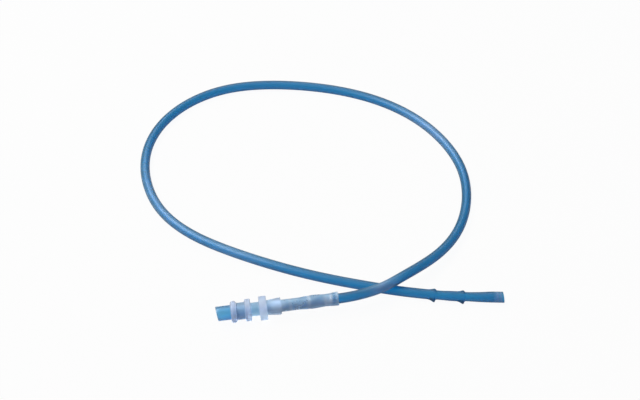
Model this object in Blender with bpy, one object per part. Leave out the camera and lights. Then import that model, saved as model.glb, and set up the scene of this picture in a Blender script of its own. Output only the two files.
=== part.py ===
"""Nasal oxygen catheter, lying in one open loop on a flat surface.

A hollow blue tube has a square-cut open tip and two stations of punched side eyes. Its rear end
is held in a clear sleeve and a clear connector with three grip rings, and a short blue stub in
the connector's mouth takes the oxygen line. Metres, +Z up, the origin under the middle.
"""

import math

import bmesh
import bpy
import numpy as np
from mathutils import Matrix, Vector

# Tube
TUBE_OUTER = 0.0033
TUBE_WALL = 0.0005
TUBE_SIDES = 20
TUBE_STEP = 0.006
TIP_CHAMFER = 0.00012

# Side eyes, one pair at each station, punched through from the back
EYE_STATIONS = 2
EYE_FROM_TIP = 0.0145
EYE_SPACING = 0.0094
EYE_LENGTH = 0.0020
EYE_WIDTH = 0.0013
EYE_FRONT_LIP = 0.0009
EYE_BACK_LIP = 0.0003
EYE_FACING = math.radians(198)
LIP_CREST = 0.00035
LIP_FOOT = 0.0006
LIP_SPREAD = math.radians(34)

# Stub in the connector's mouth
STUB_OUTER = 0.0047
STUB_WALL = 0.0006
STUB_REACH = 0.0045
STUB_SEAT = 0.0053

# Connector, from its front face to its rear lip
FRONT_RING_OUTER = 0.0070
FRONT_RING_WIDTH = 0.0019
BARREL_OUTER = 0.0055
BARREL_LENGTH = 0.0028
MIDDLE_RING_OUTER = 0.0072
MIDDLE_RING_WIDTH = 0.0018
WAIST_OUTER = 0.0044
WAIST_LENGTH = 0.0028
REAR_RING_OUTER = 0.0078
REAR_RING_WIDTH = 0.0024
NECK_OUTER = 0.0047
CUP_OUTER = 0.0055
CUP_LENGTH = 0.0046
CUP_LAND = 0.0009
CUP_WALL = 0.0004
SLEEVE_SEAT = 0.0034
TUBE_SEAT = 0.0014
RING_ROUNDING = 0.0004
ROOT_ROUNDING = 0.0003
TURNED_SIDES = 24
ROUNDING_STEPS = 2

# Sleeve over the tube's rear end
SLEEVE_LENGTH = 0.0187
SLEEVE_WALL = 0.00022
SLEEVE_BULGE = 0.00022
BULGE_MIDDLE = 0.0100
BULGE_HALF = 0.0042
SLEEVE_BELL = 0.00022
BELL_LENGTH = 0.0042

# Clearances: round each bonded joint, and where the tube passes over itself
BOND_GAP = 0.0001
CROSSING_GAP = 0.0003

# Where the connector lies, and the tube's free route from the sleeve to the tip. Each route
# point is x, y and how far the tube is lifted: 0 flat on the surface, 1 over its own tip end.
CONNECTOR_FACE = (-0.0265, -0.0537)
CONNECTOR_HEADING = math.radians(7.24)
EXIT_RUN = 0.0005
ROUTE = (
    (0.0155, -0.0477, 0.98),
    (0.0225, -0.0449, 1.00),
    (0.0293, -0.0403, 0.96),
    (0.0408, -0.0303, 0.53),
    (0.0493, -0.0179, 0.11),
    (0.0534, -0.0033, 0.00),
    (0.0527, 0.0117, 0.00),
    (0.0469, 0.0257, 0.00),
    (0.0374, 0.0374, 0.00),
    (0.0250, 0.0462, 0.00),
    (0.0109, 0.0518, 0.00),
    (-0.0040, 0.0547, 0.00),
    (-0.0191, 0.0553, 0.00),
    (-0.0339, 0.0527, 0.00),
    (-0.0470, 0.0452, 0.00),
    (-0.0564, 0.0334, 0.00),
    (-0.0604, 0.0188, 0.00),
    (-0.0586, 0.0039, 0.00),
    (-0.0518, -0.0096, 0.00),
    (-0.0407, -0.0197, 0.00),
    (-0.0273, -0.0269, 0.00),
    (-0.0132, -0.0327, 0.00),
    (0.0011, -0.0374, 0.00),
    (0.0159, -0.0411, 0.00),
    (0.0308, -0.0440, 0.00),
    (0.0459, -0.0457, 0.00),
    (0.0623, -0.0463, 0.00),
)

# Lengths and radii that follow
TUBE_RADIUS = TUBE_OUTER / 2
BORE_RADIUS = TUBE_RADIUS - TUBE_WALL
SLEEVE_BORE = TUBE_RADIUS + BOND_GAP
SLEEVE_RADIUS = SLEEVE_BORE + SLEEVE_WALL
BARREL_START = FRONT_RING_WIDTH
MIDDLE_RING_START = BARREL_START + BARREL_LENGTH
WAIST_START = MIDDLE_RING_START + MIDDLE_RING_WIDTH
REAR_RING_START = WAIST_START + WAIST_LENGTH
NECK_START = REAR_RING_START + REAR_RING_WIDTH
CUP_END = NECK_START + CUP_LENGTH
SLEEVE_STOP = CUP_END - SLEEVE_SEAT
TUBE_STOP = SLEEVE_STOP - TUBE_SEAT
SLEEVE_START = SLEEVE_STOP + BOND_GAP
SLEEVE_END = CUP_END + SLEEVE_LENGTH
EYE_CELLS = max(1, round(EYE_WIDTH / TUBE_OUTER * TUBE_SIDES / (2 * math.pi)))
EYE_CELL_ANGLE = EYE_CELLS * 2 * math.pi / TUBE_SIDES


def clear_scene():
    for obj in list(bpy.data.objects):
        bpy.data.objects.remove(obj, do_unlink=True)


def plastic(name, colour, roughness, transmission):
    """Translucent PVC of one colour."""
    material = bpy.data.materials.new(name)
    material.use_nodes = True
    shader = material.node_tree.nodes["Principled BSDF"]
    shader.inputs["Base Color"].default_value = (*colour, 1.0)
    shader.inputs["Roughness"].default_value = roughness
    shader.inputs["Metallic"].default_value = 0.0
    shader.inputs["Transmission Weight"].default_value = transmission
    shader.inputs["IOR"].default_value = 1.53
    material.diffuse_color = (*colour, 1.0)
    return material


def add_object(name, bm, material, parent=None):
    """Turn a finished bmesh into a named object with its own material."""
    bmesh.ops.recalc_face_normals(bm, faces=bm.faces)
    mesh = bpy.data.meshes.new(name)
    bm.to_mesh(mesh)
    bm.free()
    mesh.shade_smooth()
    mesh.set_sharp_from_angle(angle=math.radians(40))
    mesh.materials.append(material)
    obj = bpy.data.objects.new(name, mesh)
    obj.parent = parent
    bpy.context.collection.objects.link(obj)
    return obj


def rounded(corners):
    """Replace each (along, radius, rounding) corner of a closed outline by an arc."""
    outline = []
    for index, (along, radius, rounding) in enumerate(corners):
        corner = Vector((along, radius))
        before = Vector(corners[index - 1][:2]) - corner
        after = Vector(corners[(index + 1) % len(corners)][:2]) - corner
        if rounding == 0.0:
            outline.append(corner)
            continue
        half_angle = before.angle(after) / 2
        cut = min(rounding / math.tan(half_angle), before.length / 2, after.length / 2)
        reach = cut * math.tan(half_angle)
        centre = corner + (before.normalized() + after.normalized()).normalized() * math.hypot(cut, reach)
        start = corner + before.normalized() * cut - centre
        end = corner + after.normalized() * cut - centre
        for step in range(ROUNDING_STEPS + 1):
            share = step / ROUNDING_STEPS
            outline.append(centre + start.lerp(end, share).normalized() * reach)
    return outline


def turned(name, outline, material, parent):
    """Turn a closed (along, radius) outline round the X axis."""
    bm = bmesh.new()
    verts = [bm.verts.new((point[0], 0.0, point[1])) for point in outline]
    edges = [bm.edges.new((verts[i - 1], verts[i])) for i in range(len(verts))]
    bmesh.ops.spin(bm, geom=verts + edges, cent=(0, 0, 0), axis=(1, 0, 0), dvec=(0, 0, 0),
                   angle=2 * math.pi, steps=TURNED_SIDES, use_merge=True)
    return add_object(name, bm, material, parent)


def connector_frame():
    """The connector's axis: it lies on the lower front edges of its front and rear rings."""
    rise = math.atan2((REAR_RING_OUTER - FRONT_RING_OUTER) / 2, REAR_RING_START)
    frame = bpy.data.objects.new("connector_axis", None)
    frame.location = (*CONNECTOR_FACE, FRONT_RING_OUTER / 2 * math.cos(rise))
    frame.rotation_euler = (0.0, -rise, CONNECTOR_HEADING)
    bpy.context.collection.objects.link(frame)
    bpy.context.view_layer.update()
    return frame


def make_stub(parent):
    outer = STUB_OUTER / 2
    inner = outer - STUB_WALL
    outline = [(-STUB_REACH, outer), (STUB_SEAT, outer), (STUB_SEAT, inner), (-STUB_REACH, inner)]
    turned("inlet_stub", outline, plastic("blue_stub", (0.07, 0.30, 0.60), 0.25, 0.5), parent)


def make_connector(parent):
    """Outside from the front face to the rear lip, then the stepped bore back to the front."""
    front_ring, middle_ring, rear_ring = FRONT_RING_OUTER / 2, MIDDLE_RING_OUTER / 2, REAR_RING_OUTER / 2
    barrel, waist, neck, cup = BARREL_OUTER / 2, WAIST_OUTER / 2, NECK_OUTER / 2, CUP_OUTER / 2
    stub_socket = STUB_OUTER / 2 + BOND_GAP
    stub_stop = STUB_SEAT + BOND_GAP
    sleeve_socket = SLEEVE_RADIUS + BOND_GAP
    outside = [
        (0.0, front_ring, RING_ROUNDING),
        (BARREL_START, front_ring, RING_ROUNDING),
        (BARREL_START, barrel, ROOT_ROUNDING),
        (MIDDLE_RING_START, barrel, ROOT_ROUNDING),
        (MIDDLE_RING_START, middle_ring, RING_ROUNDING),
        (WAIST_START, middle_ring, RING_ROUNDING),
        (WAIST_START, waist, ROOT_ROUNDING),
        (REAR_RING_START, waist, ROOT_ROUNDING),
        (REAR_RING_START, rear_ring, RING_ROUNDING),
        (NECK_START, rear_ring, RING_ROUNDING),
        (NECK_START, neck, ROOT_ROUNDING),
        (CUP_END - CUP_LAND, cup, ROOT_ROUNDING),
        (CUP_END, cup, 0.0),
    ]
    inside = [
        (CUP_END, cup - CUP_WALL, 0.0),
        (CUP_END - CUP_LAND, sleeve_socket, 0.0),
        (SLEEVE_STOP, sleeve_socket, 0.0),
        (SLEEVE_STOP, SLEEVE_BORE, 0.0),
        (TUBE_STOP, SLEEVE_BORE, 0.0),
        (TUBE_STOP, BORE_RADIUS, 0.0),
        (stub_stop, BORE_RADIUS, 0.0),
        (stub_stop, stub_socket, 0.0),
        (0.0, stub_socket, 0.0),
    ]
    material = plastic("clear_connector", (0.55, 0.62, 0.78), 0.3, 0.6)
    turned("ribbed_connector", rounded(outside + inside), material, parent)


def hump(distance, half):
    """A smooth rise from 0 at half a width to 1 at the middle."""
    return 0.5 + 0.5 * math.cos(math.pi * min(1.0, abs(distance) / half))


def make_sleeve(parent):
    """A thin sleeve, swollen where it was softened over the tube, with a belled mouth."""
    steps = 22
    outside, inside = [], []
    for step in range(steps + 1):
        along = SLEEVE_START + (SLEEVE_END - SLEEVE_START) * step / steps
        swell = SLEEVE_BULGE * hump(along - CUP_END - BULGE_MIDDLE, BULGE_HALF)
        bell = SLEEVE_BELL * hump(along - SLEEVE_END, BELL_LENGTH)
        outside.append((along, SLEEVE_RADIUS + swell + bell))
        inside.append((along, SLEEVE_BORE + 0.5 * swell + bell))
    material = plastic("clear_sleeve", (0.40, 0.50, 0.66), 0.3, 0.6)
    turned("tail_sleeve", outside + inside[::-1], material, parent)


def smooth_curve(points, direction):
    """Closely spaced samples of the curve through the points whose bend has no jumps."""
    points = np.array(points)
    spans = np.linalg.norm(np.diff(points, axis=0), axis=1)
    count = len(points)
    system, wanted = np.eye(count), np.zeros((count, 3))
    wanted[0] = direction
    for i in range(1, count - 1):
        before, after = spans[i - 1], spans[i]
        system[i, i - 1:i + 2] = after, 2 * (before + after), before
        wanted[i] = 3 * (after / before * (points[i] - points[i - 1])
                         + before / after * (points[i + 1] - points[i]))
    system[-1, -2:] = 1, 2
    wanted[-1] = 3 * (points[-1] - points[-2]) / spans[-1]
    slopes = np.linalg.solve(system, wanted)
    samples = []
    for i, span in enumerate(spans):
        for t in np.linspace(0, 1, 40, endpoint=False):
            samples.append((2 * t**3 - 3 * t**2 + 1) * points[i] + (t**3 - 2 * t**2 + t) * span * slopes[i]
                           + (3 * t**2 - 2 * t**3) * points[i + 1] + (t**3 - t**2) * span * slopes[i + 1])
    return np.array(samples + [points[-1]])


class Route:
    """The tube's centre line: straight through connector and sleeve, then free to the tip."""

    def __init__(self, frame):
        start = frame.matrix_world @ Vector((TUBE_STOP + BOND_GAP, 0, 0))
        leave = frame.matrix_world @ Vector((SLEEVE_END + EXIT_RUN, 0, 0))
        direction = (leave - start).normalized()
        lift = TUBE_OUTER + CROSSING_GAP
        free = [(x, y, TUBE_RADIUS + share * lift) for x, y, share in ROUTE]
        curve = smooth_curve([tuple(leave)] + free, tuple(direction))
        self.samples = np.vstack([tuple(start), curve])
        runs = np.linalg.norm(np.diff(self.samples, axis=0), axis=1)
        self.marks = np.concatenate([[0.0], np.cumsum(runs)])
        self.length = float(self.marks[-1])
        self.straight = (leave - start).length

    def point(self, along):
        return Vector([np.interp(along, self.marks, self.samples[:, axis]) for axis in range(3)])

    def place(self, along, side, up):
        """The point beside and above the centre line, in a frame that stays level."""
        near = 0.0005
        low, high = max(0.0, along - near), min(self.length, along + near)
        forward = (self.point(high) - self.point(low)).normalized()
        left = Vector((0, 0, 1)).cross(forward).normalized()
        return self.point(along) + left * side + forward.cross(left) * up


def eye_middles(length):
    """How far along the tube each station of eyes lies."""
    return [length - EYE_FROM_TIP - EYE_SPACING * station for station in range(EYE_STATIONS)]


def tube_stations(route):
    """Where the tube has rings: even steps, closer ones at the eyes, and the exit's end."""
    finer = [route.straight, route.length - TIP_CHAMFER]
    for middle in eye_middles(route.length):
        crest = middle + EYE_LENGTH / 2 + LIP_CREST
        finer += [middle + EYE_LENGTH * share for share in (-1.0, -0.5, -0.25, 0.0, 0.25, 0.5)]
        finer += [crest, crest + LIP_FOOT / 2, crest + LIP_FOOT]
    count = math.ceil(route.length / TUBE_STEP)
    even = [route.length * step / count for step in range(count + 1)]
    clear = TUBE_STEP * 0.4
    kept = [even[0], even[-1]] + [along for along in even[1:-1]
                                  if all(abs(along - other) > clear for other in finer)]
    return sorted(kept + finer)


def straight_walls(stations):
    """The tube's two walls, straight along +X, with a ring of edges at every station.

    One corner of each ring faces the way that the eyes do, so that an eye spans whole cells.
    """
    bm = bmesh.new()
    to_x = Matrix.Rotation(EYE_FACING, 4, "X") @ Matrix.Rotation(math.radians(90), 4, "Y")
    for radius in (TUBE_RADIUS, BORE_RADIUS):
        ring = bmesh.ops.create_circle(bm, segments=TUBE_SIDES, radius=radius, matrix=to_x)["verts"]
        edges = list({edge for vert in ring for edge in vert.link_edges})
        for start, end in zip(stations, stations[1:]):
            made = bmesh.ops.extrude_edge_only(bm, edges=edges)["geom"]
            ring = [item for item in made if isinstance(item, bmesh.types.BMVert)]
            edges = [item for item in made if isinstance(item, bmesh.types.BMEdge)]
            bmesh.ops.translate(bm, verts=ring, vec=(end - start, 0, 0))
    return bm


def polar(co):
    """Distance from the tube's centre line, and angle about it."""
    return math.hypot(co.y, co.z), math.atan2(co.z, co.y)


def join_walls(bm):
    """Close the wall's thickness round each open edge: both ends and every eye."""
    between = (TUBE_RADIUS + BORE_RADIUS) / 2

    def place(vert):
        turns = polar(vert.co)[1] / (2 * math.pi) * TUBE_SIDES
        return round(vert.co.x * 1e7), round(turns - EYE_FACING / (2 * math.pi) * TUBE_SIDES) % TUBE_SIDES

    rim = [edge for edge in bm.edges if edge.is_boundary]
    inner = {place(vert): vert for edge in rim for vert in edge.verts if polar(vert.co)[0] < between}
    for edge in rim:
        first, last = edge.verts
        if polar(first.co)[0] > between:
            bm.faces.new((first, last, inner[place(last)], inner[place(first)]))


def eye_share(co, middle, facing):
    """Where a point lies in an eye's cells: along and across, from -1 to 1 between their edges."""
    turn = (polar(co)[1] - facing + math.pi) % (2 * math.pi) - math.pi
    return (co.x - middle) / (EYE_LENGTH / 2), turn / EYE_CELL_ANGLE


def open_eye(bm, middle, facing):
    """Take both walls away over the cells of one eye."""
    under = [face for face in bm.faces
             if max(map(abs, eye_share(face.calc_center_median(), middle, facing))) < 1.0]
    bmesh.ops.delete(bm, geom=under, context="FACES")


def draw_to_oval(bm, middle, facing):
    """Move the square edge of an eye's cells onto an oval."""
    half_angle = EYE_WIDTH / TUBE_OUTER
    for vert in bm.verts:
        along, across = eye_share(vert.co, middle, facing)
        if max(abs(along), abs(across)) > 1.01:
            continue
        radius = polar(vert.co)[0]
        angle = facing + half_angle * across * math.sqrt(1 - min(1.0, along**2) / 2)
        vert.co.x = middle + EYE_LENGTH / 2 * along * math.sqrt(1 - min(1.0, across**2) / 2)
        vert.co.y, vert.co.z = radius * math.cos(angle), radius * math.sin(angle)


def raise_lip(bm, middle, facing, height):
    """Push both walls out behind an eye: a slow rise along the hole, then a steep drop."""
    start = middle - EYE_LENGTH / 2
    crest = middle + EYE_LENGTH / 2 + LIP_CREST
    for vert in bm.verts:
        if not start < vert.co.x < crest + LIP_FOOT:
            continue
        if vert.co.x < crest:
            share = hump(crest - vert.co.x, crest - start)
        else:
            share = hump(vert.co.x - crest, LIP_FOOT)
        turn = eye_share(vert.co, middle, facing)[1] * EYE_CELL_ANGLE
        push = height * share * math.exp(-(turn / LIP_SPREAD) ** 2)
        vert.co.yz = vert.co.yz * (1 + push / polar(vert.co)[0])


def chamfer_tip(bm, end):
    """Take the sharp outer edge off the tip's square cut."""
    for vert in bm.verts:
        radius = polar(vert.co)[0]
        if vert.co.x > end - TIP_CHAMFER / 2 and radius > BORE_RADIUS + TUBE_WALL / 2:
            vert.co.yz = vert.co.yz * (1 - TIP_CHAMFER / radius)


def make_tube(frame):
    route = Route(frame)
    bm = straight_walls(tube_stations(route))
    eyes = [(middle, facing, lip) for middle in eye_middles(route.length)
            for facing, lip in ((EYE_FACING, EYE_FRONT_LIP), (EYE_FACING - math.pi, EYE_BACK_LIP))]
    for middle, facing, lip in eyes:
        open_eye(bm, middle, facing)
    join_walls(bm)
    for middle, facing, lip in eyes:
        draw_to_oval(bm, middle, facing)
        raise_lip(bm, middle, facing, lip)
    chamfer_tip(bm, route.length)
    for vert in bm.verts:
        vert.co = route.place(vert.co.x, vert.co.y, vert.co.z)
    add_object("catheter_tube", bm, plastic("blue_tube", (0.03, 0.18, 0.40), 0.25, 0.5))


clear_scene()
axis = connector_frame()
make_tube(axis)
make_sleeve(axis)
make_connector(axis)
make_stub(axis)
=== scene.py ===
import math

import bmesh
import bpy
import numpy as np
from mathutils import Euler, Matrix, Vector


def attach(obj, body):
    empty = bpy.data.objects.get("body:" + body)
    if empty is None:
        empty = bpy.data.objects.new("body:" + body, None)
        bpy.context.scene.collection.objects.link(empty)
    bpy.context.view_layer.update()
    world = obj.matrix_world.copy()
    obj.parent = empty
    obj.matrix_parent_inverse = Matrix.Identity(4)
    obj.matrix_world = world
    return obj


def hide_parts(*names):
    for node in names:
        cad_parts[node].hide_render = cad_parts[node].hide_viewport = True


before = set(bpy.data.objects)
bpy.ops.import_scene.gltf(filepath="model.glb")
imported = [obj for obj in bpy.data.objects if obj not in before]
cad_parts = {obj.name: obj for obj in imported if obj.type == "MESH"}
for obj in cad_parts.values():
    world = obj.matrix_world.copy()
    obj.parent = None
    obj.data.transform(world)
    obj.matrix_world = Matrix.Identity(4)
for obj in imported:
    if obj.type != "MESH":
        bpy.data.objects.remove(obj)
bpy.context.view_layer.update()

scene = bpy.context.scene


# Camera: it stands in front of the catheter, raised 48 degrees, where the open loop looks
# nearly round and its own tip end crosses under the tail.
look_at = Vector((0.00225, -0.00188, 0.0))
view_elevation = math.radians(48)
view_distance = 0.4546
camera = bpy.data.objects.new("photo_camera", bpy.data.cameras.new("photo_camera"))
camera.data.lens = 72.84
towards_camera = Vector((0, -math.cos(view_elevation), math.sin(view_elevation)))
camera.location = look_at + towards_camera * view_distance
camera.rotation_euler = towards_camera.to_track_quat("Z", "Y").to_euler()
scene.collection.objects.link(camera)
scene.camera = camera


# Catheter tube: soft blue PVC, extruded hollow and cut to length. Its rear end is bonded straight
# into the connector's axis, it then lies freely in one loop, over its own tip end, and near the
# tip two pairs of side eyes are punched through it, which leaves a raised lip behind each.
tube_radius = 0.00165
tube_wall = 0.0005
tube_sides = 48
tube_step = 0.001

# The straight axis of connector, sleeve and rear end starts at the connector's front face. It
# rises a little, because the rear ring that it lies on is larger than the front one.
front_ring_radius = 0.0035
rear_ring_larger_by = 0.0004
rear_ring_start = 0.0093
tail_rise = math.atan2(rear_ring_larger_by, rear_ring_start)
tail_heading = math.radians(7.24)
tail_axis = (Matrix.Translation((-0.0265, -0.0537, front_ring_radius * math.cos(tail_rise)))
             @ Euler((0, -tail_rise, tail_heading)).to_matrix().to_4x4())
tube_seat = 0.0116
bond_gap = 0.0001
sleeve_mouth = 0.0350
exit_run = 0.0005

# The free route: x, y and how far the tube is lifted, 0 on the floor and 1 over its own tip end.
crossing_lift = 0.0036
route_points = (
    (0.0155, -0.0477, 0.98), (0.0225, -0.0449, 1.00), (0.0293, -0.0403, 0.96),
    (0.0408, -0.0303, 0.53), (0.0493, -0.0179, 0.11), (0.0534, -0.0033, 0.00),
    (0.0527, 0.0117, 0.00), (0.0469, 0.0257, 0.00), (0.0374, 0.0374, 0.00),
    (0.0250, 0.0462, 0.00), (0.0109, 0.0518, 0.00), (-0.0040, 0.0547, 0.00),
    (-0.0191, 0.0553, 0.00), (-0.0339, 0.0527, 0.00), (-0.0470, 0.0452, 0.00),
    (-0.0564, 0.0334, 0.00), (-0.0604, 0.0188, 0.00), (-0.0586, 0.0039, 0.00),
    (-0.0518, -0.0096, 0.00), (-0.0407, -0.0197, 0.00), (-0.0273, -0.0269, 0.00),
    (-0.0132, -0.0327, 0.00), (0.0011, -0.0374, 0.00), (0.0159, -0.0411, 0.00),
    (0.0308, -0.0440, 0.00), (0.0459, -0.0457, 0.00), (0.0623, -0.0463, 0.00),
)


def smooth_curve(points, direction, steps=40):
    """Closely spaced samples of the curve through the points whose bend has no jumps."""
    points = np.array(points)
    spans = np.linalg.norm(np.diff(points, axis=0), axis=1)
    count = len(points)
    system, wanted = np.eye(count), np.zeros((count, 3))
    wanted[0] = direction
    for i in range(1, count - 1):
        before, after = spans[i - 1], spans[i]
        system[i, i - 1:i + 2] = after, 2 * (before + after), before
        wanted[i] = 3 * (after / before * (points[i] - points[i - 1])
                         + before / after * (points[i + 1] - points[i]))
    system[-1, -2:] = 1, 2
    wanted[-1] = 3 * (points[-1] - points[-2]) / spans[-1]
    slopes = np.linalg.solve(system, wanted)
    share = np.linspace(0, 1, steps, endpoint=False)[:, None]
    samples = []
    for i, span in enumerate(spans):
        samples.append((2 * share**3 - 3 * share**2 + 1) * points[i]
                       + (share**3 - 2 * share**2 + share) * span * slopes[i]
                       + (3 * share**2 - 2 * share**3) * points[i + 1]
                       + (share**3 - share**2) * span * slopes[i + 1])
    return np.vstack(samples + [points[-1]])


rear_end = np.array(tail_axis @ Vector((tube_seat + bond_gap, 0, 0)))
leaving = np.array(tail_axis @ Vector((sleeve_mouth + exit_run, 0, 0)))
leaving_direction = (leaving - rear_end) / np.linalg.norm(leaving - rear_end)
free_points = [(x, y, tube_radius + lift * crossing_lift) for x, y, lift in route_points]
centre_line = np.vstack([rear_end, smooth_curve([leaving] + free_points, leaving_direction)])
marks = np.concatenate([[0.0], np.cumsum(np.linalg.norm(np.diff(centre_line, axis=0), axis=1))])
tube_length = marks[-1]


def on_route(along):
    """The points of the centre line at these distances from the tube's rear end."""
    return np.stack([np.interp(along, marks, centre_line[:, axis]) for axis in range(3)], axis=-1)


# The eyes: one faces the viewer's side at each station, and its twin is opposite.
eye_length = 0.0020
eye_middles = [tube_length - 0.0145, tube_length - 0.0239]
eye_facing = math.radians(198)
eye_cells = 3
eye_half_angle = eye_cells * 2 * math.pi / tube_sides
front_lip = 0.0009
back_lip = 0.00045
drawn_in = 0.00014
lip_crest = 0.00035
lip_foot = 0.0006
lip_spread = math.radians(34)
inner_push = 0.35
rim_rounding = 0.00006


def eye_share(co, middle, facing):
    """Where a point lies at an eye: along and across, from -1 to 1 between its edges."""
    turn = (math.atan2(co.z, co.y) - facing + math.pi) % (2 * math.pi) - math.pi
    return (co.x - middle) / (eye_length / 2), turn / eye_half_angle


def draw_to_oval(bm, middle, facing):
    """Move the square edge of an eye's hole onto an oval, and the wall round it less and less."""
    for vert in bm.verts:
        along, across = eye_share(vert.co, middle, facing)
        reach = max(abs(along), abs(across))
        if not 0 < reach < 2:
            continue
        pull = min(1.0, 2 - reach)
        angle = facing + eye_half_angle * across * (
            1 - pull * (1 - math.sqrt(1 - (along / reach) ** 2 / 2)))
        radius = math.hypot(vert.co.y, vert.co.z)
        vert.co.x = middle + eye_length / 2 * along * (
            1 - pull * (1 - math.sqrt(1 - (across / reach) ** 2 / 2)))
        vert.co.y, vert.co.z = radius * math.cos(angle), radius * math.sin(angle)


def hump(distance, half):
    """A smooth rise from 0 at half a width to 1 at the middle."""
    return 0.5 + 0.5 * math.cos(math.pi * min(1.0, abs(distance) / half))


def raise_lip(bm, middle, facing, height):
    """Push the wall out behind an eye: a slow rise along the hole, then a steep drop."""
    start = middle - eye_length / 2
    crest = middle + eye_length / 2 + lip_crest
    for vert in bm.verts:
        if start < vert.co.x < crest + lip_foot:
            before = vert.co.x < crest
            share = hump(vert.co.x - crest, crest - start if before else lip_foot)
            turn = eye_share(vert.co, middle, facing)[1] * eye_half_angle
            push = height * share * math.exp(-(turn / lip_spread) ** 2)
            radius = math.hypot(vert.co.y, vert.co.z)
            if radius < tube_radius - tube_wall / 2:
                push *= inner_push
            vert.co.yz = vert.co.yz * (1 + push / radius)


def round_rims(bm, width, segments=2):
    """Take the sharpness off every edge where two faces meet squarely."""
    square = [edge for edge in bm.edges
              if len(edge.link_faces) == 2 and edge.calc_face_angle() > math.radians(60)]
    bmesh.ops.bevel(bm, geom=square, offset=width, offset_type="OFFSET", affect="EDGES",
                    segments=segments, profile=0.5, material=-1)


def add_piece(name, bm, milkiness=None):
    """Turn a finished bmesh, still straight along X, into a smoothly shaded object.

    It keeps two attributes: where each point was in the straight piece, and how milky it is, from
    0 where the plastic is clear to 1 where thickness, a cut, a gap behind it or a painted highlight
    turns it pale."""
    mesh = bpy.data.meshes.new(name)
    bm.to_mesh(mesh)
    bm.free()
    mesh.shade_smooth()
    mesh.set_sharp_from_angle(angle=math.radians(50))
    if milkiness:
        straight = np.empty(len(mesh.vertices) * 3, np.float32)
        mesh.vertices.foreach_get("co", straight)
        mesh.attributes.new("as_made", "FLOAT_VECTOR", "POINT").data.foreach_set("vector", straight)
        along, side, up = straight.reshape(-1, 3).T.astype(float)
        milky = milkiness(along, np.hypot(side, up), np.arctan2(up, side))
        mesh.attributes.new("milky", "FLOAT", "POINT").data.foreach_set(
            "value", np.clip(milky, 0, 1).astype(np.float32))
    piece = bpy.data.objects.new(name, mesh)
    scene.collection.objects.link(piece)
    return piece


def rise(value, low, high):
    """0 below low, 1 above high and a smooth step between."""
    share = np.clip((value - low) / (high - low), 0, 1)
    return share * share * (3 - 2 * share)


# The rings of points along the tube are closest at the eyes and at the tip.
eye_ring_step = 0.000125
tip_ring_step = 0.0002
least_ring_step = 0.0006
fine = [middle + eye_ring_step * step for middle in eye_middles for step in range(-18, 21)]
fine += [tube_length - tip_ring_step * step for step in range(20)]
even = np.linspace(0, tube_length, round(tube_length / tube_step) + 1)
rings = sorted(fine + [along for along in even
                       if min(abs(along - near) for near in fine) > least_ring_step])

tube_mesh = bmesh.new()
to_x = Matrix.Rotation(eye_facing, 4, "X") @ Matrix.Rotation(math.radians(90), 4, "Y")
bmesh.ops.create_circle(tube_mesh, segments=tube_sides, radius=tube_radius, matrix=to_x)
growing = list(tube_mesh.edges)
for ring, following in zip(rings, rings[1:]):
    made = bmesh.ops.extrude_edge_only(tube_mesh, edges=growing)["geom"]
    corners = [item for item in made if isinstance(item, bmesh.types.BMVert)]
    growing = [item for item in made if isinstance(item, bmesh.types.BMEdge)]
    bmesh.ops.translate(tube_mesh, verts=corners, vec=(following - ring, 0, 0))
bmesh.ops.recalc_face_normals(tube_mesh, faces=tube_mesh.faces)
for middle in eye_middles:
    for facing in (eye_facing, eye_facing - math.pi):
        under = [face for face in tube_mesh.faces
                 if max(map(abs, eye_share(face.calc_center_median(), middle, facing))) < 1.0]
        bmesh.ops.delete(tube_mesh, geom=under, context="FACES")
        draw_to_oval(tube_mesh, middle, facing)
bmesh.ops.solidify(tube_mesh, geom=list(tube_mesh.faces), thickness=tube_wall)
round_rims(tube_mesh, rim_rounding)
for middle in eye_middles:
    raise_lip(tube_mesh, middle, eye_facing, front_lip)
    raise_lip(tube_mesh, middle, eye_facing - math.pi, back_lip)

# Behind each eye the tube stays drawn in a little. The tip was warmed and cut: a slight swelling,
# an end a little off square, and a paler last stretch.
drawn_narrowest = 0.0010
drawn_fades = 0.0052
tip_swelling = 0.00016
swelling_full = 0.0030
swelling_ends = 0.0085
tip_slant = 0.15
slant_sideways = 0.74
slant_upwards = 0.67
slant_ends = 0.0060
for vert in tube_mesh.verts:
    for middle in eye_middles:
        behind = vert.co.x - middle - eye_length / 2 - lip_crest
        if 0 < behind < drawn_narrowest + drawn_fades:
            fading = drawn_narrowest if behind < drawn_narrowest else drawn_fades
            shrink = drawn_in * hump(behind - drawn_narrowest, fading)
            vert.co.yz = vert.co.yz * (1 - shrink / tube_radius)
    to_tip = tube_length - vert.co.x
    if to_tip < swelling_ends:
        swell = tip_swelling * (1 - rise(to_tip, swelling_full, swelling_ends))
        vert.co.yz = vert.co.yz * (1 + swell / tube_radius)
        vert.co.z += swell
        across = slant_sideways * vert.co.y + slant_upwards * vert.co.z
        vert.co.x -= tip_slant * across * hump(to_tip, slant_ends)

# Painted highlights: pale bands on the tube where it lies over its own tip end and in three
# stretches of the loop. Each has its middle, its reach and how pale it is. The cutter pressed the
# last stretch before the tip, but not its rim.
painted_highlights = ((0.0385, 0.0055, 0.90), (0.1280, 0.0180, 0.80),
           (0.2850, 0.0250, 0.62), (0.3230, 0.0130, 0.45))
pressed_from = (0.0003, 0.0006)
pressed_until = (0.0026, 0.0036)
pressed_waves = 5700
highlight_waves = 900


def bands(along, places):
    """Soft bands round a piece, each with its middle, its reach and how pale it is."""
    return sum(pale * np.exp(-((along - middle) / reach) ** 2) for middle, reach, pale in places)


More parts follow.
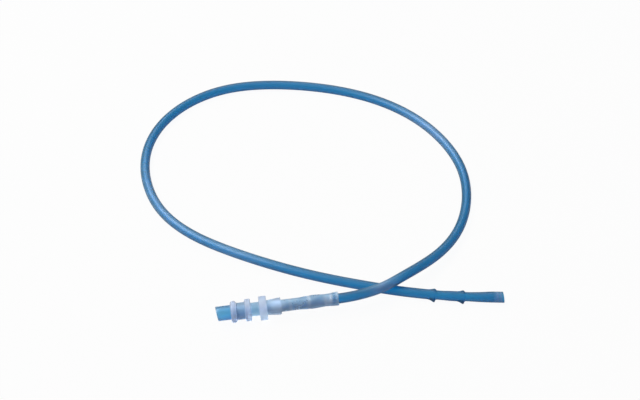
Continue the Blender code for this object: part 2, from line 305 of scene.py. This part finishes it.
def tube_pallor_and_highlights(along, radius, turn):
    """How pale the tube is: at the painted highlights and where it was pressed, and never evenly.
    """
    to_tip = tube_length - along
    pressed = (1 - rise(to_tip, *pressed_until)) * rise(to_tip, *pressed_from)
    return (pressed * (0.65 + 0.25 * np.sin(to_tip * pressed_waves + turn))
            + bands(along, painted_highlights) * (0.85 + 0.15 * np.sin(3 * turn + highlight_waves * along)))


tube = add_piece("catheter_tube_blue", tube_mesh, tube_pallor_and_highlights)
straight = np.empty(len(tube.data.vertices) * 3, np.float32)
tube.data.vertices.foreach_get("co", straight)
straight = straight.reshape(-1, 3).astype(float)
along = np.clip(straight[:, 0], 0, tube_length)
nearby = 0.0005
ahead = on_route(np.minimum(along + nearby, tube_length))
forward = ahead - on_route(np.maximum(along - nearby, 0))
forward /= np.linalg.norm(forward, axis=1, keepdims=True)
left = np.cross((0, 0, 1), forward)
left /= np.linalg.norm(left, axis=1, keepdims=True)
bent = (on_route(along) + forward * (straight[:, :1] - along[:, None])
        + left * straight[:, 1:2] + np.cross(forward, left) * straight[:, 2:3])
tube.data.vertices.foreach_set("co", bent.astype(np.float32).ravel())
tube.data.update()


def soft_pvc(name, colours, milky_colour, roughness, transmission, milky_transmission,
             haze_scale, line_scale, absorption, shadow, gloss, bloom):
    """Translucent PVC: a slow change of tint and gloss, fine lines along the piece, a dull bloom on
    its skin, paler and denser where it is milky and where a highlight is painted on, and lamps
    shine through it onto what is behind."""
    material = bpy.data.materials.new(name)
    material.use_nodes = True
    nodes, links = material.node_tree.nodes, material.node_tree.links
    shader, output = nodes["Principled BSDF"], nodes["Material Output"]
    shader.inputs["IOR"].default_value = 1.53
    shader.inputs["Specular IOR Level"].default_value = gloss
    shader.inputs["Specular Tint"].default_value = (0.72, 0.87, 1.0, 1.0)
    shader.inputs["Coat Weight"].default_value = bloom
    shader.inputs["Coat Roughness"].default_value = 0.55
    place = nodes.new("ShaderNodeAttribute")
    place.attribute_name = "as_made"
    milky = nodes.new("ShaderNodeAttribute")
    milky.attribute_name = "milky"

    def noise(scale, detail):
        """Noise that follows the piece as it was made, stretched by its three scales."""
        mapping = nodes.new("ShaderNodeMapping")
        mapping.inputs["Scale"].default_value = scale
        texture = nodes.new("ShaderNodeTexNoise")
        texture.inputs["Scale"].default_value = 1.0
        texture.inputs["Detail"].default_value = detail
        links.new(place.outputs["Vector"], mapping.inputs["Vector"])
        links.new(mapping.outputs["Vector"], texture.inputs["Vector"])
        return texture.outputs["Fac"]

    def spread(factor, low, high):
        """Noise, which stays mostly between 0.3 and 0.7, brought to the range from low to high."""
        reach = nodes.new("ShaderNodeMapRange")
        reach.inputs["From Min"].default_value = 0.3
        reach.inputs["From Max"].default_value = 0.7
        reach.inputs["To Min"].default_value = low
        reach.inputs["To Max"].default_value = high
        links.new(factor, reach.inputs["Value"])
        return reach.outputs["Result"]

    def blend(kind, factor, first, last):
        """From the first number or colour, at a factor of 0, to the last, at 1."""
        mix = nodes.new("ShaderNodeMix")
        mix.data_type = kind
        links.new(factor, mix.inputs["Factor"])
        sockets = [socket for socket in mix.inputs if socket.enabled and socket.name in "AB"]
        for socket, value in zip(sockets, (first, last)):
            if isinstance(value, bpy.types.NodeSocket):
                links.new(value, socket)
            else:
                socket.default_value = (*value, 1.0) if kind == "RGBA" else value
        return next(socket for socket in mix.outputs if socket.enabled)

    haze = noise(haze_scale, 3.0)
    tint = blend("RGBA", spread(haze, 0.0, 1.0), *colours)
    links.new(blend("RGBA", milky.outputs["Fac"], tint, milky_colour), shader.inputs["Base Color"])
    clear = spread(haze, *transmission)
    links.new(blend("FLOAT", milky.outputs["Fac"], clear, milky_transmission),
              shader.inputs["Transmission Weight"])
    links.new(spread(noise(haze_scale, 5.0), *roughness), shader.inputs["Roughness"])

    bump = nodes.new("ShaderNodeBump")
    bump.inputs["Strength"].default_value = 0.15
    bump.inputs["Distance"].default_value = 0.00003
    links.new(noise(line_scale, 2.0), bump.inputs["Height"])
    links.new(bump.outputs["Normal"], shader.inputs["Normal"])

    volume = nodes.new("ShaderNodeVolumeAbsorption")
    volume.inputs["Color"].default_value = (*absorption[0], 1.0)
    volume.inputs["Density"].default_value = absorption[1]
    links.new(volume.outputs["Volume"], output.inputs["Volume"])

    see_through = nodes.new("ShaderNodeBsdfTransparent")
    see_through.inputs["Color"].default_value = (*shadow, 1.0)
    light_path = nodes.new("ShaderNodeLightPath")
    mix = nodes.new("ShaderNodeMixShader")
    links.new(light_path.outputs["Is Shadow Ray"], mix.inputs["Fac"])
    links.new(shader.outputs["BSDF"], mix.inputs[1])
    links.new(see_through.outputs["BSDF"], mix.inputs[2])
    links.new(mix.outputs["Shader"], output.inputs["Surface"])
    return material


tube.data.materials.append(soft_pvc(
    "blue_tube_pvc", ((0.19, 0.81, 0.93), (0.30, 0.90, 0.98)), (0.55, 0.80, 1.00), (0.30, 0.38),
    (0.90, 0.94), 0.68, (60, 260, 260), (40, 1200, 1200),
    absorption=((0.0, 0.545, 0.775), 3000.0), shadow=(0.80, 0.93, 0.97), gloss=0.85, bloom=0.12))
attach(tube, "root")
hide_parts("catheter_tube")


# Tail sleeve: a short, thin tube of clear PVC that was softened and pushed over the blue tube's
# rear end and into the connector's cup. It is swollen at its middle and belled at its mouth.
sleeve_start = 0.0130
sleeve_bore = 0.00169
sleeve_wall = 0.00026
sleeve_sides = 64
sleeve_swelling = 0.00026
sleeve_middle = 0.0265
sleeve_swollen = 0.0052
pinch = 0.00008
pinch_middle = 0.0254
pinch_half = 0.0008
bell_flare = 0.00028
bell_length = 0.0048
cut_rounding = 0.00008
unevenness = 0.010


def turned(outline, steps):
    """A closed (along, radius) outline turned round the tail's axis, still lying along X."""
    bm = bmesh.new()
    verts = [bm.verts.new((along, 0, radius)) for along, radius in outline]
    edges = [bm.edges.new((verts[i - 1], verts[i])) for i in range(len(verts))]
    bmesh.ops.spin(bm, geom=verts + edges, cent=(0, 0, 0), axis=(1, 0, 0), dvec=(0, 0, 0),
                   angle=2 * math.pi, steps=steps, use_merge=True)
    bmesh.ops.recalc_face_normals(bm, faces=bm.faces)
    return bm


def put_on_tail(name, bm, milkiness):
    """Lay a finished straight piece on the tail's axis."""
    piece = add_piece(name, bm, milkiness)
    piece.data.transform(tail_axis)
    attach(piece, "root")
    return piece


outside, inside = [], []
for along in np.linspace(sleeve_start, sleeve_mouth, 120):
    swell = (sleeve_swelling * hump(along - sleeve_middle, sleeve_swollen)
             - pinch * hump(along - pinch_middle, pinch_half))
    bell = bell_flare * hump(along - sleeve_mouth, bell_length)
    outside.append((along, sleeve_bore + sleeve_wall + swell + bell))
    inside.append((along, sleeve_bore + 0.5 * swell + bell))
sleeve_mesh = turned(outside + inside[::-1], sleeve_sides)
round_rims(sleeve_mesh, cut_rounding)
for vert in sleeve_mesh.verts:
    turn = math.atan2(vert.co.z, vert.co.y)
    uneven = (math.sin(2 * turn + 420 * vert.co.x) + math.sin(3 * turn - 900 * vert.co.x)) / 2
    vert.co.yz = vert.co.yz * (1 + unevenness * uneven)

# Narrow bands, as on the tube. The pale ones at the pinch and on the bell's slope are painted
# highlights; the other pale ones are where the sleeve stands off the tube. Where the number is
# negative the sleeve clings more closely.
sleeve_gap_and_highlight_bands = ((0.0184, 0.0004, -0.40), (0.0193, 0.0005, 0.40), (0.0202, 0.0004, -0.40),
                (0.0254, 0.0006, 0.60), (0.0308, 0.0006, 0.50), (0.0324, 0.0006, 0.60),
                (0.0336, 0.0005, -0.30), (0.0346, 0.0004, 0.40))


def sleeve_pallor_and_highlights(along, radius, turn):
    """Pale where the sleeve stands off the tube, in narrow bands, with painted highlights at the
    pinch and on the bell's slope, and dark where it clings.
    """
    streaks = 0.7 + 0.3 * np.sin(2 * turn + 700 * along)
    clinging = 0.36 + 0.12 * np.sin(3 * turn + 1400 * along) * np.sin(620 * along)
    near_cup = 0.14 * (1 - rise(along, 0.0210, 0.0240))
    bonded = 0.3 * (1 - rise(along, 0.0160, 0.0172))
    return clinging + near_cup + bonded + bands(along, sleeve_gap_and_highlight_bands) * streaks


sleeve = put_on_tail("tail_sleeve_clear", sleeve_mesh, sleeve_pallor_and_highlights)
sleeve.data.materials.append(soft_pvc(
    "clear_sleeve_pvc", ((0.56, 0.84, 0.99), (0.66, 0.90, 1.00)), (0.88, 0.95, 1.00), (0.26, 0.36),
    (0.93, 0.87), 0.56, (220, 300, 300), (240, 500, 500),
    absorption=((0.0, 0.36, 0.68), 900.0), shadow=(0.95, 0.97, 0.99), gloss=0.3, bloom=0.0))
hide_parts("tail_sleeve")


# Connector: one moulding of soft, milky clear PVC, with three grip rings for the fingers and a
# cup at its back that holds sleeve and tube. Stub, tube and sleeve are bonded in with solvent.
# Its outline runs back along the outside and forward again along the stepped bore.
connector_outline = [
    (0.0, 0.0035), (0.0019, 0.0035),
    (0.0019, 0.00275), (0.0047, 0.00275), (0.0047, 0.0036), (0.0065, 0.0036),
    (0.0065, 0.0022), (0.0093, 0.0022), (0.0093, 0.0039), (0.0117, 0.0039),
    (0.0117, 0.00235), (0.0154, 0.00275), (0.0163, 0.00275),
    (0.0163, 0.00235), (0.0154, 0.00207), (0.0129, 0.00207), (0.0129, 0.00175),
    (0.0115, 0.00175), (0.0115, 0.00115), (0.0095, 0.00115), (0.0090, 0.00115),
    (0.0068, 0.00115), (0.0063, 0.00115), (0.0054, 0.00115), (0.0054, 0.00245),
    (0.0049, 0.00245), (0.0044, 0.00245), (0.0021, 0.00245), (0.0017, 0.00245),
    (0.0, 0.00245),
]
corner_roundings = {
    0.00075: [(0.0, 0.0035), (0.0019, 0.0035)],
    0.00028: [(0.0047, 0.0036), (0.0065, 0.0036)],
    0.00022: [(0.0093, 0.0039), (0.0117, 0.0039)],
    0.00030: [(0.0019, 0.00275), (0.0047, 0.00275), (0.0065, 0.0022), (0.0093, 0.0022),
              (0.0117, 0.00235), (0.0154, 0.00275)],
    0.00010: [(0.0163, 0.00275), (0.0163, 0.00235), (0.0, 0.00245)],
}
connector_sides = 120
connector_mesh = turned(connector_outline, connector_sides)
for rounding, corners in corner_roundings.items():
    for along, radius in corners:
        circle = [edge for edge in connector_mesh.edges if all(
            abs(vert.co.x - along) < 1e-6 and abs(math.hypot(vert.co.y, vert.co.z) - radius) < 1e-6
            for vert in edge.verts)]
        bmesh.ops.bevel(connector_mesh, geom=circle, offset=rounding, offset_type="OFFSET",
                        affect="EDGES", segments=5, profile=0.5, material=-1)

# The two halves of the mould met along its sides, which leaves a hair-thin ridge on each.
parting_turn = math.radians(168)
parting_ridge = 0.00005
connector_mesh.normal_update()
for vert in connector_mesh.verts:
    outward = Vector((0, vert.co.y, vert.co.z)).normalized()
    turn = math.atan2(vert.co.z, vert.co.y) - parting_turn
    from_parting = (turn + math.pi / 2) % math.pi - math.pi / 2
    if vert.normal.dot(outward) > 0.5 and abs(from_parting) < math.pi / connector_sides:
        vert.co += outward * parting_ridge

# Where each ring starts and ends. The front one goes on round the connector's front face.
ring_spans = ((-0.0010, 0.0019), (0.0047, 0.0065), (0.0093, 0.0117))


def thick_or_cut(along, radius, turn):
    """Pale through each of the three rings and round the cup, and least between the rings."""
    thick = sum(rise(along, start - 0.0003, start + 0.0002)
                * (1 - rise(along, end - 0.0002, end + 0.0003)) for start, end in ring_spans)
    barrel = rise(along, 0.0017, 0.0021) * (1 - rise(along, 0.0044, 0.0048))
    cup = rise(along, 0.0117, 0.0123)
    return 0.88 * thick + 0.24 * barrel + 0.58 * cup


connector = put_on_tail("ribbed_connector_clear", connector_mesh, thick_or_cut)
connector.data.materials.append(soft_pvc(
    "clear_connector_pvc", ((0.44, 0.64, 0.78), (0.50, 0.70, 0.82)), (0.87, 0.89, 1.00),
    (0.34, 0.46), (0.88, 0.84), 0.70, (260, 260, 260), (700, 700, 700),
    absorption=((0.0, 0.40, 0.65), 60.0), shadow=(0.92, 0.95, 0.99), gloss=0.15, bloom=0.0))
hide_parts("ribbed_connector")


# Inlet stub: a short, wider piece of blue PVC tube bonded into the connector's mouth, which the
# oxygen line is pushed into. It was cut by hand, a little off square.
stub_reach = 0.0045
stub_seat = 0.0053
stub_radius = 0.00235
stub_bore = 0.00175
stub_sides = 64
stub_slant = 0.12
pale_from = 0.0034
stub_mesh = turned([(-stub_reach, stub_radius), (stub_seat, stub_radius),
                    (stub_seat, stub_bore), (-stub_reach, stub_bore)], stub_sides)
round_rims(stub_mesh, cut_rounding)
for vert in stub_mesh.verts:
    if vert.co.x < 0:
        vert.co.x -= stub_slant * (slant_sideways * vert.co.y + slant_upwards * vert.co.z)
whole_stub = stub_mesh.verts[:] + stub_mesh.edges[:] + stub_mesh.faces[:]
along_cut = Vector((1, slant_sideways * stub_slant, slant_upwards * stub_slant))
bmesh.ops.bisect_plane(stub_mesh, geom=whole_stub, plane_co=(-pale_from, 0, 0), plane_no=along_cut)


def stub_pallor(along, radius, turn):
    """A little paler towards the cut end."""
    return 0.4 * rise(-along, 0.0030, 0.0046)


stub = put_on_tail("inlet_stub_blue", stub_mesh, stub_pallor)
stub.data.materials.append(soft_pvc(
    "blue_stub_pvc", ((0.46, 0.82, 0.90), (0.54, 0.87, 0.93)), (0.66, 0.82, 0.93), (0.26, 0.34),
    (0.90, 0.94), 0.70, (200, 260, 260), (60, 1600, 1600),
    absorption=((0.0, 0.46, 0.80), 950.0), shadow=(0.80, 0.93, 0.99), gloss=0.6, bloom=0.1))
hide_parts("inlet_stub")


# Floor and light: a plain white table that keeps a faint shadow, a long soft lamp above on the
# left, a weaker one behind, and pale light all round.
floor_mesh = bmesh.new()
bmesh.ops.create_circle(floor_mesh, cap_ends=True, segments=96, radius=3.0)
floor = add_piece("white_table", floor_mesh)
floor_material = bpy.data.materials.new("white_table")
floor_material.use_nodes = True
nodes, links = floor_material.node_tree.nodes, floor_material.node_tree.links
paper = nodes["Principled BSDF"]
paper.inputs["Base Color"].default_value = (0.65, 0.65, 0.65, 1.0)
paper.inputs["Roughness"].default_value = 1.0
paper.inputs["Specular IOR Level"].default_value = 0.0
glow = nodes.new("ShaderNodeEmission")
seen = nodes.new("ShaderNodeLightPath")
share = None
for kind, part in (("Is Camera Ray", 0.95), ("Is Glossy Ray", 0.10), ("Is Transmission Ray", 0.90)):
    larger = nodes.new("ShaderNodeMath")
    larger.operation = "MULTIPLY"
    larger.inputs[1].default_value = part
    links.new(seen.outputs[kind], larger.inputs[0])
    if share:
        either = nodes.new("ShaderNodeMath")
        either.operation = "MAXIMUM"
        links.new(share, either.inputs[0])
        links.new(larger.outputs["Value"], either.inputs[1])
        larger = either
    share = larger.outputs["Value"]
mix = nodes.new("ShaderNodeMixShader")
links.new(share, mix.inputs["Fac"])
links.new(paper.outputs["BSDF"], mix.inputs[1])
links.new(glow.outputs["Emission"], mix.inputs[2])
links.new(mix.outputs["Shader"], nodes["Material Output"].inputs["Surface"])
floor.data.materials.append(floor_material)


def soft_lamp(name, place, length, width, power):
    """A lamp behind a flat white screen that faces the middle of the loop."""
    lamp = bpy.data.objects.new(name, bpy.data.lights.new(name, "AREA"))
    lamp.data.shape = "RECTANGLE"
    lamp.data.size = length
    lamp.data.size_y = width
    lamp.data.energy = power
    lamp.location = place
    lamp.rotation_euler = Vector(place).to_track_quat("Z", "Y").to_euler()
    scene.collection.objects.link(lamp)


soft_lamp("lamp_above_left", (-0.50, 0.13, 0.83), 1.0, 0.42, 8.4)
soft_lamp("lamp_behind", (-0.05, 0.75, 0.65), 0.60, 0.60, 1.7)

world = bpy.data.worlds.new("pale_room")
world.use_nodes = True
nodes, links = world.node_tree.nodes, world.node_tree.links
sky = nodes["Background"]
sky.inputs["Color"].default_value = (0.195, 0.20, 0.205, 1.0)
white = nodes.new("ShaderNodeBackground")
white.inputs["Color"].default_value = (1, 1, 1, 1)
seen = nodes.new("ShaderNodeLightPath")
mix = nodes.new("ShaderNodeMixShader")
links.new(seen.outputs["Is Camera Ray"], mix.inputs["Fac"])
links.new(sky.outputs["Background"], mix.inputs[1])
links.new(white.outputs["Background"], mix.inputs[2])
links.new(mix.outputs["Shader"], nodes["World Output"].inputs["Surface"])
scene.world = world
scene.view_settings.view_transform = "Standard"
